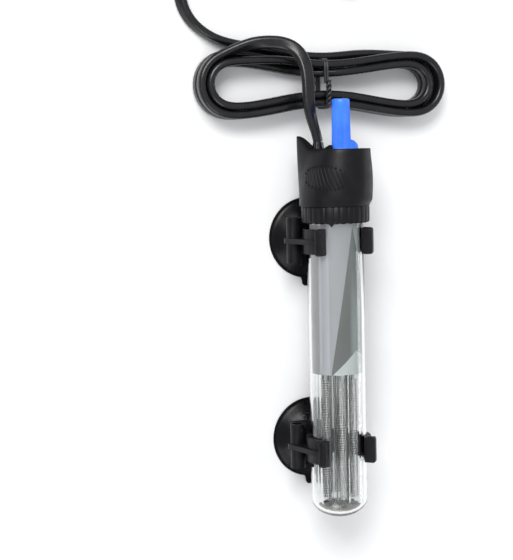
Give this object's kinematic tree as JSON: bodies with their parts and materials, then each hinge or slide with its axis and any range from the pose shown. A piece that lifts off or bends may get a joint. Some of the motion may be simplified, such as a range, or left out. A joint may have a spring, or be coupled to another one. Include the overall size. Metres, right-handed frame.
{
  "type": "submersible aquarium heater",
  "caption": "Glass-tube submersible aquarium heater with a turning dial knob, clip-on suction cups and a mains cord.",
  "frame": {"origin": "on the surface that the suction cups stick to, under the middle of the heater's length and between the cups' sides", "axes": "+Z points away from that surface, +X along the tube towards the glass tip, +Y to the dial's side"},
  "size_m": [0.2712, 0.1274, 0.0425],
  "materials": {
    "tube_glass": "clear drawn tube with a faint green edge",
    "label_foil": "silver foil sleeve, printed grey shapes, satin",
    "black_plastic": "moulded black plastic, fine grain",
    "seal_rubber": "black moulded rubber",
    "cord_pvc": "flexible black cord sheath, semi-gloss",
    "dial_print": "white disc with printed numbers and lines",
    "knob_blue": "slightly translucent blue plastic",
    "brass": "turned and stamped brass",
    "spring_steel": "rolled spring strip",
    "plated_steel": "stamped plated steel",
    "contact_silver": "silver contact button",
    "bimetal": "two-layer rolled strip",
    "magnet": "sintered magnet block",
    "lamp_glass": "small clear bulb",
    "resistor_body": "coated ceramic body with colour bands",
    "core_insulation": "wire insulation",
    "sleeving": "woven glass-fibre sleeving",
    "ceramic": "unglazed pressed ceramic",
    "quartz": "clear quartz tube",
    "heating_wire": "wound resistance wire",
    "fibre_pad": "white mineral fibre",
    "clip_plastic": "moulded black plastic, satin",
    "cup_rubber": "glossy black flexible rubber",
    "tie": "black plastic-covered wire",
    "plug_plastic": "moulded black plastic",
    "nylon": "undyed moulded nylon",
    "plated_brass": "nickel-plated pins"
  },
  "bodies": {
    "heater": {"glass_tube": "tube_glass", "label_sleeve": "label_foil", "collar_ring": "black_plastic", "seal_ring": "seal_rubber", "sealing_bung": "seal_rubber", "head_cap": "black_plastic", "cable_gland": "cord_pvc", "dial_plate": "dial_print", "dial_bush": "black_plastic", "thermostat_frame": "plated_steel", "snap_magnet": "magnet", "neon_lamp": "lamp_glass", "lamp_resistor": "resistor_body", "wire_terminals": "brass", "cable_cores": "core_insulation", "feed_wires": "sleeving", "coil_crimps": "plated_steel", "element_disc": "ceramic", "sheath_1": "quartz", "sheath_2": "quartz", "sheath_3": "quartz", "sheath_4": "quartz", "sheath_5": "quartz", "sheath_6": "quartz", "coil_5": "heating_wire", "coil_6": "heating_wire", "coil_1": "heating_wire", "coil_2": "heating_wire", "coil_3": "heating_wire", "coil_4": "heating_wire", "base_pad": "fibre_pad", "power_cord": "cord_pvc", "cord_hank": "cord_pvc", "hank_tie": "tie", "plug_lead": "cord_pvc", "plug_boot": "cord_pvc", "plug_body": "plug_plastic", "plug_pins": "plated_brass"},
    "knob": {"control_knob": "knob_blue", "knob_spindle": "brass", "spindle_oring": "seal_rubber", "spindle_clip": "spring_steel"},
    "adjuster": {"adjuster_nut": "nylon"},
    "arm": {"adjusting_arm": "spring_steel", "fixed_contact": "contact_silver"},
    "bimetal": {"bimetal_strip": "bimetal", "moving_contact": "contact_silver", "armature_plate": "plated_steel"},
    "upper_clip": {"upper_clip": "clip_plastic"},
    "lower_clip": {"lower_clip": "clip_plastic"},
    "upper_cup": {"upper_cup": "cup_rubber"},
    "lower_cup": {"lower_cup": "cup_rubber"}
  },
  "joints": [
    {"name": "knob_turn", "type": "hinge", "parent": "heater", "child": "knob", "pos_m": [-0.0725, 0.00576, 0.02916], "axis": [1, 0, 0], "range_deg": [-112, 112]},
    {"name": "screw_travel", "type": "slide", "parent": "heater", "child": "adjuster", "axis": [1, 0, 0], "range_m": [-0.001, 0.001]},
    {"name": "arm_tilt", "type": "hinge", "parent": "heater", "child": "arm", "pos_m": [0.001, 0.00426, 0.02798], "axis": [0, 0.6157, -0.788], "range_deg": [-1.5, 1.5]},
    {"name": "bimetal_flex", "type": "hinge", "parent": "heater", "child": "bimetal", "pos_m": [0.0102, 0.00714, 0.03023], "axis": [0, -0.6157, 0.788], "range_deg": [-1, 1.4], "stiffness_Nm_per_rad": 0.1},
    {"name": "upper_clip_slide", "type": "slide", "parent": "heater", "child": "upper_clip", "axis": [1, 0, 0], "range_m": [-0.0015, 0.025]},
    {"name": "lower_clip_slide", "type": "slide", "parent": "heater", "child": "lower_clip", "axis": [1, 0, 0], "range_m": [-0.025, 0.012]},
    {"name": "upper_cup_spin", "type": "hinge", "parent": "upper_clip", "child": "upper_cup", "pos_m": [-0.0309, 0, 0.01], "axis": [0, 0, 1], "continuous": true},
    {"name": "lower_cup_spin", "type": "hinge", "parent": "lower_clip", "child": "lower_cup", "pos_m": [0.0615, 0, 0.01], "axis": [0, 0, 1], "continuous": true}
  ],
  "couplings": [
    {"joint": "screw_travel", "follows": "knob_turn", "m_per_rad": -0.000477},
    {"joint": "arm_tilt", "follows": "knob_turn", "ratio": 0.0125}
  ]
}
